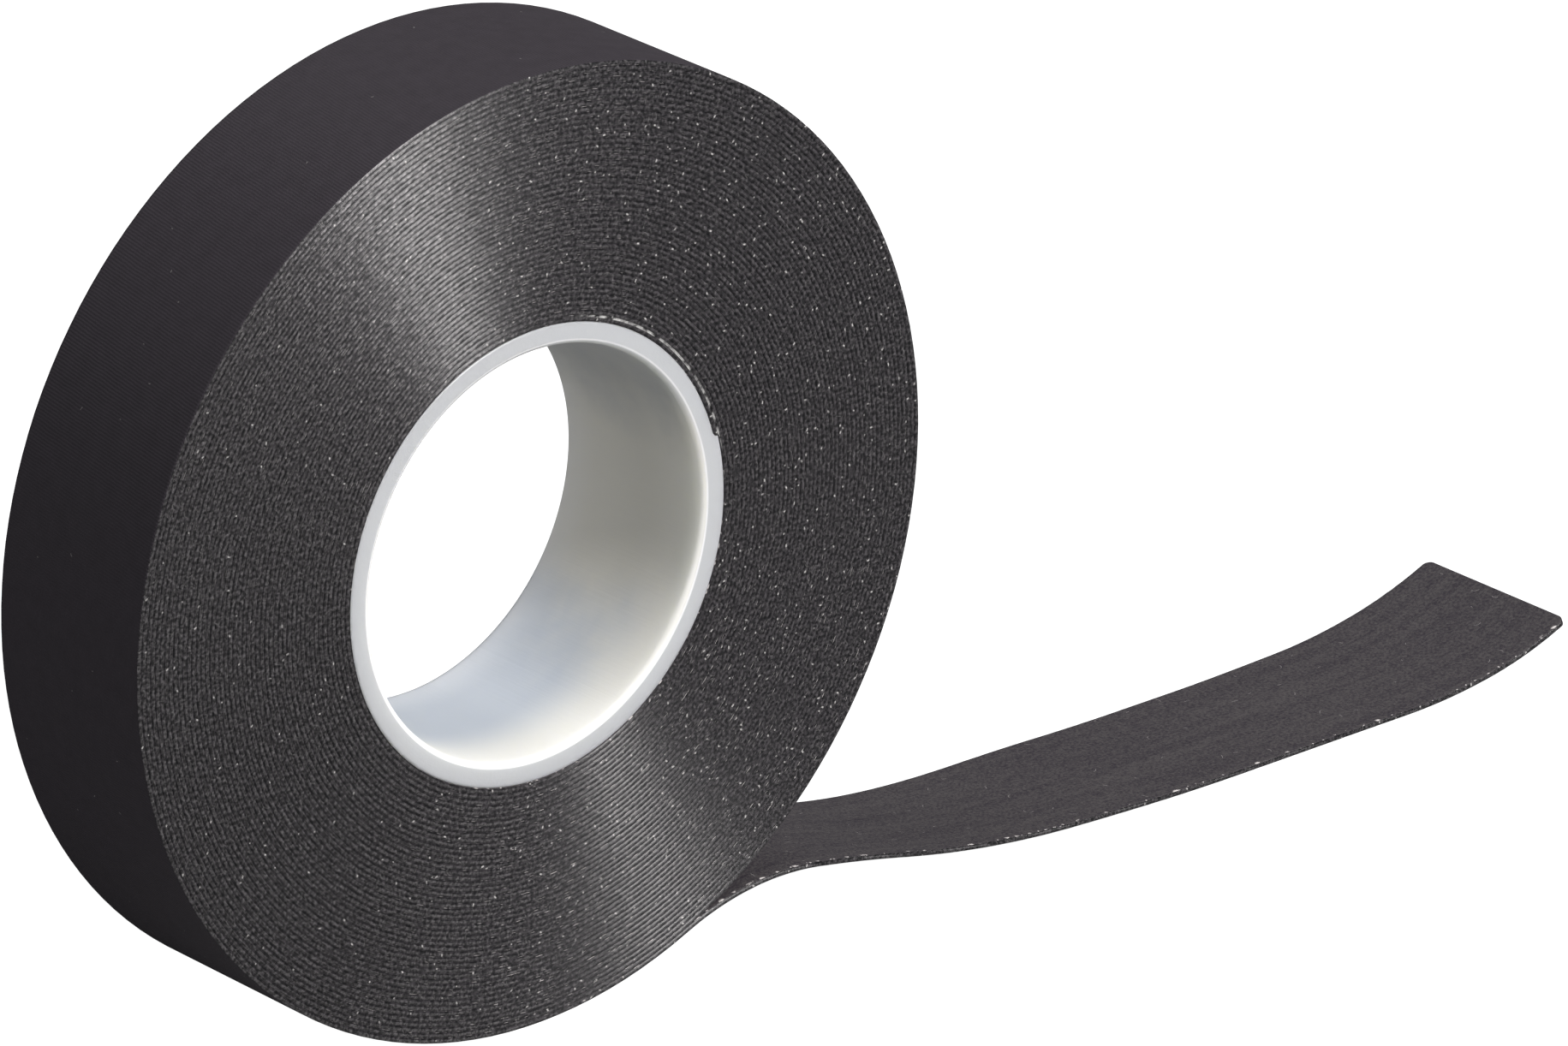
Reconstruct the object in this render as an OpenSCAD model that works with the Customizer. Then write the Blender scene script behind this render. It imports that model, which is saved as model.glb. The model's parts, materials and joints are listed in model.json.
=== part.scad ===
// Roll of black insulating tape on a plastic core, standing on its rim, with its free end
// peeled off and lying on the bench. The origin is the middle of the core's bore. The roll's
// axis runs along Y, the free tail runs towards +X, and the bench is below, towards -Z.

/* [Core] */
// Diameter of the hole through the core
core_bore_d = 39; // [25:0.5:78]
// Wall of the core
core_wall = 2; // [1:0.25:4]
// Rounding of the core's inner edges
core_inner_edge_r = 0.6; // [0.1:0.1:0.9]
// Chamfer of the core's outer edges
core_outer_chamfer = 0.2; // [0.1:0.05:0.4]
// How far each end of the core stands back from the tape's edges
core_inset = 0; // [0:0.1:2]

/* [Tape] */
// Width of the tape
tape_w = 19; // [12:0.5:50]
// Thickness of the rubber backing
backing_t = 0.42; // [0.15:0.01:0.8]
// Thickness of the adhesive on the backing's inner side
adhesive_t = 0.08; // [0.04:0.01:0.2]
// Whole turns wound on the core
full_turns = 46; // [4:1:60]
// Where the tape's inner end lies on the core, in degrees from +X towards +Z
start_angle = 16; // [0:1:60]
// Where the tail leaves the roll, in degrees from +X towards +Z
peel_angle = -66.5; // [-75:0.5:-40]

/* [Tail] */
// Bend of the strip away from the roll where it peels off, in degrees
peel_bend = 33; // [10:0.5:60]
// Radius of that bend
peel_bend_r = 29; // [10:0.5:60]
// Length of strip between two neighbouring bending lines
stretch_l = 10.8; // [6:0.1:20]

/* [Fits] */
// Air between the wound turns, and between the core and the first of them
wind_gap = 0.01; // [0.01:0.01:0.05]
// Air between the backing and its adhesive, which are two solids
layer_gap = 0.005; // [0.002:0.001:0.01]
// Slit between two stretches of the tail at a bending line
hinge_gap = 0.12; // [0.06:0.02:0.4]

/* [Hidden] */
// How far each stretch of the tail bends towards the roll along its own length, in degrees:
// it drops to the bench, lies flat on it and curls up again at its cut end.
stretch_bends = [-3.5, 5, 5, 1, 2, 0, 0, 9, 14.5];
stretches = len(stretch_bends);

// Names of the pieces: the core, the two layers of the wound strip, and the same two layers
// of each stretch of its tail
function backing_name(i) = str("tail_backing_", i);
function adhesive_name(i) = str("tail_adhesive_", i);
$fn = 96;

// Radii are kept to a ten-thousandth of a millimetre, so that neighbouring arcs meet flush
function fine(x) = round(x * 10000) / 10000;
core_r = core_bore_d / 2 + core_wall;
core_w = tape_w - 2 * core_inset;
strip_t = backing_t + adhesive_t;
pitch = 4 * fine((strip_t + wind_gap) / 4);

// The strip winds outwards in half turns that all meet on the line through the peel line and
// the axis. Each one's centre lies a quarter of a pitch off the axis, by turns to either side,
// so that they run into each other without a step. The innermost is only a part of a half.
wound_angle = 360 * full_turns + (360 + peel_angle - start_angle);
half_turns = ceil(wound_angle / 180);
first_sweep = wound_angle - 180 * (half_turns - 1);
first_r = fine(core_r + wind_gap - pitch / 4 * cos(first_sweep));
function half_turn_r(i) = first_r + i * pitch / 2;
function half_turn_end(i) = (half_turns - 1 - i) % 2 == 0 ? 0 : 180;
peel_r = half_turn_r(half_turns - 1) + pitch / 4;
peel_point = peel_r * [cos(peel_angle), sin(peel_angle)];

// The tail's path in the XZ plane, along the strip's inner face, as [x, z, direction] at the
// peel line, at each bending line and at the cut end
function arc_end(from, length, bend) =
    bend == 0
    ? [from.x + length * cos(from.z), from.y + length * sin(from.z), from.z]
    : let (r = length * 180 / (PI * bend))
      [from.x + r * (sin(from.z + bend) - sin(from.z)),
       from.y - r * (cos(from.z + bend) - cos(from.z)),
       from.z + bend];
peel_l = peel_bend_r * PI * peel_bend / 180;
hinge_line_1 = arc_end([peel_point.x, peel_point.y, peel_angle + 90], peel_l, -peel_bend);
function bending_line(i) =
    i == 0 ? hinge_line_1 : arc_end(bending_line(i - 1), stretch_l, stretch_bends[i - 1]);

// Turns a shape drawn in the XY plane and raised along Z into the XZ plane, with its rise
// centred across the tape's width
module across_tape(width) {
    rotate([90, 0, 0]) translate([0, 0, -width / 2]) children();
}

// One half turn of strip between two depths below its inner face. The peel line is on +X here.
module half_turn(i, near, far) {
    end = half_turn_end(i);
    sweep = i == 0 ? first_sweep : 180;
    translate([pitch / 4 * cos(end), 0])
        rotate_extrude(angle = sweep, start = end - sweep)
            translate([half_turn_r(i) + near, 0])
                square([far - near, tape_w]);
}

// The strip's bend away from the roll, which starts on the peel line and stops half a slit
// short of the first bending line
module peel_arc(near, far) {
    translate([peel_r + peel_bend_r, 0]) mirror([0, 1])
        rotate_extrude(angle = peel_bend * (1 - hinge_gap / 2 / peel_l), start = 180)
            translate([peel_bend_r - far, 0])
                square([far - near, tape_w]);
}

// Strip between two depths below its inner face, along one arc or straight of the tail.
// Depth grows away from the roll's axis, to the right of the direction of travel.
module tail_arc(from, length, bend, near, far, cut_start, cut_end) {
    translate([from.x, from.y, 0]) rotate([0, 0, from.z]) {
        if (bend == 0) {
            translate([cut_start, -far, 0])
                cube([length - cut_start - cut_end, far - near, tape_w]);
        } else {
            r = abs(length * 180 / (PI * bend));
            side = sign(bend);
            lost_start = cut_start / r * 180 / PI;
            lost_end = cut_end / r * 180 / PI;
            sweep = abs(bend) - lost_start - lost_end;
            translate([0, side * r, 0])
                rotate([0, 0, side > 0 ? -90 + lost_start : 90 - lost_start - sweep])
                    rotate_extrude(angle = sweep)
                        translate([side > 0 ? r + near : r - far, 0])
                            square([far - near, tape_w]);
        }
    }
}

// The whole wound strip between two depths, with the short bend that leaves the roll
module wound_layer(near, far) {
    across_tape(tape_w) rotate([0, 0, peel_angle]) {
        for (i = [0 : half_turns - 1]) half_turn(i, near, far);
        peel_arc(near, far);
    }
}

// One stretch of the tail between two depths, parted from its neighbours by half a slit at
// each end. The last one ends in the square cut.
module tail_layer(i, near, far) {
    across_tape(tape_w)
        tail_arc(bending_line(i - 1), stretch_l, stretch_bends[i - 1], near, far,
                 hinge_gap / 2, i < stretches ? hinge_gap / 2 : 0);
}

module core() {
    r = core_bore_d / 2;
    color("#d9dde0") across_tape(core_w) rotate_extrude() difference() {
        translate([r, 0]) square([core_wall, core_w]);
        for (end = [0, 1]) translate([0, end * core_w]) mirror([0, end]) {
            difference() {
                translate([r - 1, -1]) square([1 + core_inner_edge_r, 1 + core_inner_edge_r]);
                translate([r + core_inner_edge_r, core_inner_edge_r])
                    circle(r = core_inner_edge_r, $fn = 48);
            }
            translate([core_r, 0]) rotate(45)
                square(core_outer_chamfer * sqrt(2), center = true);
        }
    }
}

module wound_backing() { color("#2b282c") wound_layer(adhesive_t + layer_gap, strip_t); }
module wound_adhesive() { color("#3a373b") wound_layer(0, adhesive_t); }
module tail_backing(i) { color("#333036") tail_layer(i, adhesive_t + layer_gap, strip_t); }
module tail_adhesive(i) { color("#4a4648") tail_layer(i, 0, adhesive_t); }

core();
wound_backing();
wound_adhesive();
for (i = [1 : stretches]) {
    tail_backing(i);
    tail_adhesive(i);
}
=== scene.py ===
import json
import math

import bmesh
import bpy
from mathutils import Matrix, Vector


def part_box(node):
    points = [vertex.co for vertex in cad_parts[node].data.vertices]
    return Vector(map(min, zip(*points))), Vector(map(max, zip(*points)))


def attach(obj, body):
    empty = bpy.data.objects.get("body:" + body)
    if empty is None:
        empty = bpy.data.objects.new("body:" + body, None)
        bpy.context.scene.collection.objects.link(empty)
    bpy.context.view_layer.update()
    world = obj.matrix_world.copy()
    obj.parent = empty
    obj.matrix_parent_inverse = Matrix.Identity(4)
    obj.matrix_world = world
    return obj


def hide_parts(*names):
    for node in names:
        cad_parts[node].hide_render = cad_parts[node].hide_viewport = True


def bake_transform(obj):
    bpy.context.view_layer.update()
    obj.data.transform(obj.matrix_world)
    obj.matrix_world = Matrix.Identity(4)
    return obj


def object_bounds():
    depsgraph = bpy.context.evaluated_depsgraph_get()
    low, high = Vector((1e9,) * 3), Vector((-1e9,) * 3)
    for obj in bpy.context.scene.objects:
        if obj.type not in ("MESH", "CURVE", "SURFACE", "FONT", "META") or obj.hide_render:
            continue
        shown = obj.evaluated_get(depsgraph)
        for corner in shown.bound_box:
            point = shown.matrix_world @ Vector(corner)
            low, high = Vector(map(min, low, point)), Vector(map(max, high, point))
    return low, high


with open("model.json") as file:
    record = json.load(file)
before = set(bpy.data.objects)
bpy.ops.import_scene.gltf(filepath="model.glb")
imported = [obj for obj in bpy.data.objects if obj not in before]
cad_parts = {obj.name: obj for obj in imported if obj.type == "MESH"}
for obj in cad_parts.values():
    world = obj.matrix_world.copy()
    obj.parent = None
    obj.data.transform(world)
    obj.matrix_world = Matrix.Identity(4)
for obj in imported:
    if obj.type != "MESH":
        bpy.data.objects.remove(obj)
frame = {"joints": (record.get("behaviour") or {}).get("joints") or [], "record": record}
cad_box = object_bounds()

# Studio ---------------------------------------------------------------------------------------
# A small white table-top set: the roll stands on its rim on a pale sheet, under a soft key light
# high in front, with weaker ones on the left and behind, and a dim room all round.
MM = 0.001
aim = Vector((37.727, 0, -9.967)) * MM
camera_azimuth = math.radians(-42.011)
camera_elevation = math.radians(22.535)
camera_roll = math.radians(0.920)
camera_distance = 1147.0 * MM
camera_lens = 288.39


def direction(azimuth, elevation):
    """Unit vector towards a place in the room; azimuth 0 is in front, along -Y."""
    flat = math.cos(elevation)
    return Vector((math.sin(azimuth) * flat, -math.cos(azimuth) * flat, math.sin(elevation)))


camera = bpy.data.objects.new("camera", bpy.data.cameras.new("camera"))
camera.data.lens = camera_lens
camera.data.sensor_width = 36
camera.data.clip_start = 0.1
camera.data.clip_end = 10
camera.location = aim + direction(camera_azimuth, camera_elevation) * camera_distance
level = (aim - camera.location).to_track_quat("-Z", "Y").to_matrix().to_4x4()
camera.rotation_euler = (level.to_3x3() @ Vector((0, 0, 1))).to_track_quat("Z", "Y").to_euler()
camera.rotation_euler.rotate_axis("Z", camera_roll)
bpy.context.scene.collection.objects.link(camera)
bpy.context.scene.camera = camera


def soft_light(name, azimuth, elevation, distance, width, height, watts, colour):
    """A rectangular softbox that faces the object."""
    lamp = bpy.data.lights.new(name, "AREA")
    lamp.shape = "RECTANGLE"
    lamp.size = width
    lamp.size_y = height
    lamp.energy = watts
    lamp.color = colour
    holder = bpy.data.objects.new(name, lamp)
    towards = direction(math.radians(azimuth), math.radians(elevation))
    holder.location = aim + towards * distance
    holder.rotation_euler = towards.to_track_quat("Z", "Y").to_euler()
    bpy.context.scene.collection.objects.link(holder)


soft_light("key_light", 13, 36, 1.0, 0.25, 0.25, 15.0, (1.0, 0.99, 0.98))
soft_light("left_light", -110, 30, 1.2, 0.6, 0.6, 2.2, (0.98, 0.97, 1.0))
soft_light("rear_light", 165, 42, 1.3, 0.6, 0.6, 1.5, (1.0, 1.0, 1.0))

world = bpy.data.worlds.new("bright_room")
world.use_nodes = True
world.node_tree.nodes["Background"].inputs["Color"].default_value = (0.98, 0.99, 1.0, 1)
world.node_tree.nodes["Background"].inputs["Strength"].default_value = 0.16
bpy.context.scene.world = world
bpy.context.scene.view_settings.view_transform = "Standard"

floor_half = 3.0
floor_z = cad_box[0].z - 0.01 * MM
floor_mesh = bpy.data.meshes.new("table_sheet")
floor_corners = [(x * floor_half, y * floor_half, floor_z) for x, y in
                 ((-1, -1), (1, -1), (1, 1), (-1, 1))]
floor_mesh.from_pydata(floor_corners, [], [(0, 1, 2, 3)])
floor = bpy.data.objects.new("table_sheet", floor_mesh)
floor_finish = bpy.data.materials.new("table_sheet")
floor_finish.use_nodes = True
floor_shader = floor_finish.node_tree.nodes["Principled BSDF"]
floor_shader.inputs["Base Color"].default_value = (0.22, 0.22, 0.22, 1)
floor_shader.inputs["Roughness"].default_value = 0.9
floor_shader.inputs["Specular IOR Level"].default_value = 0.1
floor_shader.inputs["Emission Color"].default_value = (1, 1, 1, 1)
seen = floor_finish.node_tree.nodes.new("ShaderNodeLightPath")
floor_finish.node_tree.links.new(seen.outputs["Is Camera Ray"],
                                 floor_shader.inputs["Emission Strength"])
floor_mesh.materials.append(floor_finish)
bpy.context.scene.collection.objects.link(floor)

# Core -----------------------------------------------------------------------------------------
# A short length of milky polyethylene tube that the tape is wound on. It is extruded, cut to the
# tape's width, and its inner edges are rounded; the tape grips it and nothing else holds it.
bore_r = next(m for m in frame["record"]["mounts"] if m["name"] == "core_bore")["dims"]["r_mm"] * MM
core_low, core_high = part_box("core")
core_r = (core_high.x - core_low.x) / 2
core_half_w = (core_high.y - core_low.y) / 2
core_inner_round = 0.6 * MM
core_outer_round = 0.2 * MM
core_segments = 256
core_round_steps = 8
flat_margin = 0.1 * MM


def corner_arc(centre, radius, first_angle, last_angle, steps):
    """Points of a rounding in a profile, from one angle to the other, in degrees."""
    angles = [math.radians(first_angle + (last_angle - first_angle) * k / steps)
              for k in range(steps + 1)]
    return [(centre[0] + radius * math.cos(a), centre[1] + radius * math.sin(a)) for a in angles]


def lathe(name, profile, segments, swell):
    """Turns a closed profile of (radius, y) points, drawn anticlockwise, round the Y axis. The
    swell is what each radius gains at a share of the whole turn."""
    shape = bmesh.new()
    rings = []
    for step in range(segments):
        turn = math.tau * step / segments
        rings.append([shape.verts.new(((r + swell(r, turn)) * math.cos(turn), y,
                                       (r + swell(r, turn)) * math.sin(turn)))
                      for r, y in profile])
    for step in range(segments):
        here = rings[step]
        after = rings[(step + 1) % segments]
        for k in range(len(profile)):
            following = (k + 1) % len(profile)
            shape.faces.new((here[k], here[following], after[following], after[k]))
    bmesh.ops.recalc_face_normals(shape, faces=shape.faces)
    mesh = bpy.data.meshes.new(name)
    shape.to_mesh(mesh)
    shape.free()
    mesh.shade_smooth()
    turned = bpy.data.objects.new(name, mesh)
    bpy.context.scene.collection.objects.link(turned)
    return turned


def inset_points(point_a, point_b, margin):
    """Two points on a straight stretch, a margin in from each end, that keep its shading flat."""
    a = Vector(point_a)
    b = Vector(point_b)
    along = (b - a).normalized() * margin
    return [tuple(a + along), tuple(b - along)]


core_corners = [
    corner_arc((core_r - core_outer_round, -core_half_w + core_outer_round), core_outer_round,
               -90, 0, core_round_steps // 2),
    corner_arc((core_r - core_outer_round, core_half_w - core_outer_round), core_outer_round,
               0, 90, core_round_steps // 2),
    corner_arc((bore_r + core_inner_round, core_half_w - core_inner_round), core_inner_round,
               90, 180, core_round_steps),
    corner_arc((bore_r + core_inner_round, -core_half_w + core_inner_round), core_inner_round,
               180, 270, core_round_steps),
]
core_profile = []
for number, corner in enumerate(core_corners):
    core_profile += corner
    following_corner = core_corners[(number + 1) % len(core_corners)]
    core_profile += inset_points(corner[-1], following_corner[0], flat_margin)
start_angle = 16
first_turn_rise = 0.47 * MM


def creep(r, turn):
    """How far the soft tube has crept out into the wedge under the tape's first turn."""
    wound = (math.degrees(turn) - start_angle) % 360 / 360
    share = (r - bore_r) / (core_r - bore_r)
    return first_turn_rise * wound * max(0, 2 * share - 1)


core = lathe("core_tube", core_profile, core_segments, creep)


def fill(tree, socket, value):
    """Links a node's socket to another node's output, or sets it to a plain value."""
    if isinstance(value, bpy.types.NodeSocket):
        tree.links.new(value, socket)
    else:
        socket.default_value = value


def put(tree, kind, inputs=None, **settings):
    """Adds a node with its settings and its named inputs."""
    added = tree.nodes.new(kind)
    for name, value in settings.items():
        setattr(added, name, value)
    for name, value in (inputs or {}).items():
        fill(tree, added.inputs[name], value)
    return added


def calc(tree, operation, *values):
    """Adds a Math node over the values and returns its result."""
    added = tree.nodes.new("ShaderNodeMath")
    added.operation = operation
    for socket, value in zip(added.inputs, values):
        fill(tree, socket, value)
    return added.outputs[0]


def vector_calc(tree, operation, *values):
    """Adds a Vector Math node over the values and returns its result."""
    added = tree.nodes.new("ShaderNodeVectorMath")
    added.operation = operation
    for socket, value in zip(added.inputs, values):
        fill(tree, socket, value)
    return added.outputs["Value" if operation in ("LENGTH", "DISTANCE") else "Vector"]


def ramp_up(tree, value, low, high):
    """0 below low, 1 above high, with a smooth rise between them. High may be the smaller."""
    added = put(tree, "ShaderNodeMapRange", {"Value": value, "From Min": low, "From Max": high},
                interpolation_type="SMOOTHSTEP")
    return added.outputs["Result"]


def mixed(tree, share, colour_a, colour_b):
    """The colour between two colours at a share from 0 to 1."""
    added = put(tree, "ShaderNodeMix", data_type="RGBA")
    fill(tree, added.inputs["Factor"], share)
    fill(tree, added.inputs[6], colour_a)
    fill(tree, added.inputs[7], colour_b)
    return added.outputs[2]


def new_group(name, kind, inputs, outputs):
    """A node group with named sockets: each is (name, socket type, default value or None)."""
    tree = bpy.data.node_groups.new(name, kind)
    for direction_word, rows in (("INPUT", inputs), ("OUTPUT", outputs)):
        for socket_name, socket_type, default in rows:
            made = tree.interface.new_socket(socket_name, in_out=direction_word,
                                             socket_type=socket_type)
            if default is not None:
                made.default_value = default
    entry = tree.nodes.new("NodeGroupInput")
    result = tree.nodes.new("NodeGroupOutput")
    return tree, entry.outputs, result.inputs


def use_group(tree, group, inputs):
    """Places a node group in a tree, with its named inputs, and returns its outputs."""
    kind = "ShaderNodeGroup" if tree.type == "SHADER" else "GeometryNodeGroup"
    added = tree.nodes.new(kind)
    added.node_tree = group
    for name, value in inputs.items():
        fill(tree, added.inputs[name], value)
    return added.outputs


# Fine irregular grain, from 0 to 1, of a given size.
grain_group, grain_in, grain_out = new_group(
    "grain", "ShaderNodeTree",
    [("Vector", "NodeSocketVector", None), ("Size", "NodeSocketFloat", 0.001),
     ("Roughness", "NodeSocketFloat", 0.6)],
    [("Value", "NodeSocketFloat", None)])
grain_noise = put(
    grain_group, "ShaderNodeTexNoise",
    {"Vector": grain_in["Vector"], "Scale": calc(grain_group, "DIVIDE", 1, grain_in["Size"]),
     "Detail": 3.0, "Roughness": grain_in["Roughness"]})
fill(grain_group, grain_out["Value"], grain_noise.outputs[0])


def new_finish(name, colour, roughness, specular):
    """A material with a plain Principled shader, and its node tree, shader and coordinates."""
    material = bpy.data.materials.new(name)
    material.use_nodes = True
    tree = material.node_tree
    shader = tree.nodes["Principled BSDF"]
    shader.inputs["Base Color"].default_value = (*colour, 1)
    shader.inputs["Roughness"].default_value = roughness
    shader.inputs["Specular IOR Level"].default_value = specular
    place = tree.nodes.new("ShaderNodeTexCoord").outputs
    return material, tree, shader, place


def bumped(tree, height, depth, before=None):
    """A normal that carries a relief of the given depth in metres, over an earlier one."""
    added = put(tree, "ShaderNodeBump", {"Strength": 1.0, "Distance": depth, "Height": height})
    if before is not None:
        fill(tree, added.inputs["Normal"], before)
    return added.outputs["Normal"]


# The plastic's finish, with light and shade painted into its colour: a painted cool reflection low
# in the bore, painted warm light at mid height, painted shade at the top, and a painted glow near
# its ends where light passes through. Fine draw lines run along it and saw marks round its end
# faces, and a painted highlight follows the rounding of the bore's edge.
painted_cool_light_low = (0.48, 0.525, 0.59, 1)
painted_cool_light_high = (0.52, 0.56, 0.62, 1)
painted_warm_light = (0.75, 0.735, 0.67, 1)
glow_front = (0.97, 0.95, 0.87, 1)
glow_rear = (0.84, 0.85, 0.86, 1)
painted_top_shade = (0.54, 0.55, 0.55, 1)
end_grey = (0.47, 0.48, 0.495, 1)
painted_edge_highlight = (0.92, 0.92, 0.92, 1)
cloud_size = 9 * MM
cloud_sway = 12 * MM
front_reach = 9 * MM
rear_reach = 5 * MM
edge_reach = 0.5 * MM
painted_warm_light_from = -18 * MM
painted_warm_light_full = -7 * MM
painted_top_shade_from = 2 * MM
painted_top_shade_full = 14 * MM
plastic, tree, shader, place = new_finish("milky_polyethylene", (0.60, 0.61, 0.62), 0.34, 0.5)
spot = put(tree, "ShaderNodeSeparateXYZ", {"Vector": place["Object"]}).outputs
radius = vector_calc(tree, "LENGTH", put(
    tree, "ShaderNodeCombineXYZ", {"X": spot["X"], "Y": spot["Z"], "Z": 0.0}).outputs[0])
draw_lines = use_group(tree, grain_group, {
    "Vector": vector_calc(tree, "MULTIPLY", place["Object"], (1, 0.03, 1)), "Size": 0.5 * MM})
cloud = use_group(tree, grain_group, {"Vector": place["Object"], "Size": cloud_size})
saw_marks = use_group(tree, grain_group, {
    "Vector": put(tree, "ShaderNodeCombineXYZ", {"X": radius, "Y": 0.0, "Z": 0.0}).outputs[0],
    "Size": 0.12 * MM})
height = calc(tree, "ADD", spot["Z"], calc(tree, "MULTIPLY", calc(
    tree, "SUBTRACT", cloud["Value"], 0.5), cloud_sway))
lit_front = ramp_up(tree, spot["Y"], front_reach - core_half_w, edge_reach - core_half_w)
lit_rear = ramp_up(tree, spot["Y"], core_half_w - rear_reach, core_half_w - edge_reach)
# Painted reflected light: cool colours low in the bore, creamier at mid height.
painted_cool_light = mixed(tree, cloud["Value"], painted_cool_light_low, painted_cool_light_high)
shade = mixed(tree, ramp_up(tree, height, painted_warm_light_from, painted_warm_light_full), painted_cool_light, painted_warm_light)
# Painted glow: paler near the front and rear ends, standing in for light passing through the
# plastic.
shade = mixed(tree, calc(tree, "MULTIPLY", lit_front, 0.9), shade, glow_front)
shade = mixed(tree, calc(tree, "MULTIPLY", lit_rear, 0.3), shade, glow_rear)
# Painted shade: greyer towards the top of the bore.
shade = mixed(tree, ramp_up(tree, height, painted_top_shade_from, painted_top_shade_full), shade, painted_top_shade)
on_end = ramp_up(tree, radius, bore_r + 0.1 * MM, bore_r + core_inner_round)
shade = mixed(tree, on_end, shade, end_grey)
# Painted highlight: a bright band along the rounding of the bore's edge.
painted_highlight_band = calc(tree, "MULTIPLY", ramp_up(tree, radius, bore_r + 0.30 * MM, bore_r + 0.42 * MM),
                ramp_up(tree, radius, bore_r + 0.58 * MM, bore_r + 0.45 * MM))
shade = mixed(tree, calc(tree, "MULTIPLY", painted_highlight_band, 0.65), shade, painted_edge_highlight)
fill(tree, shader.inputs["Base Color"], shade)
relief = bumped(tree, draw_lines["Value"], 0.02 * MM)
relief = bumped(tree, saw_marks["Value"], 0.01 * MM, relief)
fill(tree, shader.inputs["Normal"], relief)
shader.inputs["Subsurface Weight"].default_value = 0.8
shader.inputs["Subsurface Radius"].default_value = (1.0, 1.0, 0.9)
shader.inputs["Subsurface Scale"].default_value = 3.5 * MM
core.data.materials.append(plastic)
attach(core, "roll")
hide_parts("core")

# Wound tape -----------------------------------------------------------------------------------
# One long strip of black rubber with a thin tacky layer on its inner side, wound tightly on the
# core from its step outwards, until it peels off below and bends away towards the bench. Each
# turn wanders a little from side to side, so its cut edges show as separate layers.
adhesive_low, adhesive_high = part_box("tail_adhesive_7")
backing_low, backing_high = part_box("tail_backing_7")
adhesive_t = adhesive_high.z - adhesive_low.z
strip_t = adhesive_high.z - backing_low.z
strip_w = backing_high.y - backing_low.y
layer_gap = 0.005 * MM
wind_gap = 0.01 * MM
full_turns = 46
peel_angle = -66.5
peel_bend = 33
peel_bend_r = 29 * MM
wind_pitch = strip_t + wind_gap
wound_angle = 360 * full_turns + 360 + peel_angle - start_angle
first_r = core_r + wind_gap
peel_r = first_r + wind_pitch * wound_angle / 360
steps_a_turn = 144
peel_steps = 24
edge_bevel = 0.03 * MM
edge_crown = 0.03 * MM
edge_margin = 0.25 * MM
wander_length = 30 * MM
ragged_length = 0.9 * MM
hinges = [Vector(joint["pos_m"]) for joint in frame["joints"]]
half_stretch = (hinges[6] - hinges[5]).length / 2
peel_kept = math.radians(peel_bend) - half_stretch / peel_bend_r

# The strip's cross-section: X is the depth below its inner face and Y runs across its width.
section_sockets = [
    ("Width", "NodeSocketFloat", 0.019), ("Near", "NodeSocketFloat", 0.0),
    ("Far", "NodeSocketFloat", 0.0005), ("Bevel", "NodeSocketFloat", 0.0001),
    ("Crown", "NodeSocketFloat", 0.00005), ("Margin", "NodeSocketFloat", 0.0002)]
profile_points = 14
last_point = profile_points - 1
profile_group, profile_in, profile_out = new_group(
    "strip_profile", "GeometryNodeTree", section_sockets,
    [("Curve", "NodeSocketGeometry", None)])
g = profile_group
index = g.nodes.new("GeometryNodeInputIndex").outputs[0]
mirrored = calc(g, "SUBTRACT", last_point, index)
rank = calc(g, "MINIMUM", index, mirrored)
on_rear = calc(g, "LESS_THAN", index, last_point / 2)
side = calc(g, "SUBTRACT", calc(g, "MULTIPLY", on_rear, 2), 1)


def chosen(tree, number, choices):
    """The choice with that number, from a list of sockets or values."""
    switch = tree.nodes.new("GeometryNodeIndexSwitch")
    switch.data_type = "FLOAT"
    while len(switch.index_switch_items) < len(choices):
        switch.index_switch_items.new()
    fill(tree, switch.inputs["Index"], number)
    for k, choice in enumerate(choices):
        fill(tree, switch.inputs[str(k)], choice)
    return switch.outputs[0]


crown = profile_in["Crown"]
bevel_inset = calc(g, "ADD", profile_in["Bevel"], crown)
margin_inset = calc(g, "ADD", bevel_inset, profile_in["Margin"])
inset = chosen(g, rank, [margin_inset, bevel_inset, crown, 0.0, crown, bevel_inset,
                         margin_inset])
far = profile_in["Far"]
near = profile_in["Near"]
middle = calc(g, "DIVIDE", calc(g, "ADD", far, near), 2)
depth = chosen(g, rank, [far, far, calc(g, "SUBTRACT", far, profile_in["Bevel"]), middle,
                         calc(g, "ADD", near, profile_in["Bevel"]), near, near])
half_w = calc(g, "SUBTRACT", calc(g, "DIVIDE", profile_in["Width"], 2), inset)
outline = put(g, "GeometryNodeCurvePrimitiveCircle", {"Resolution": profile_points})
outline = put(g, "GeometryNodeSetPosition", {
    "Geometry": outline.outputs[0],
    "Position": put(g, "ShaderNodeCombineXYZ", {
        "X": depth, "Y": calc(g, "MULTIPLY", side, half_w), "Z": 0.0}).outputs[0]})
fill(g, profile_out["Curve"], outline.outputs[0])

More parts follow.
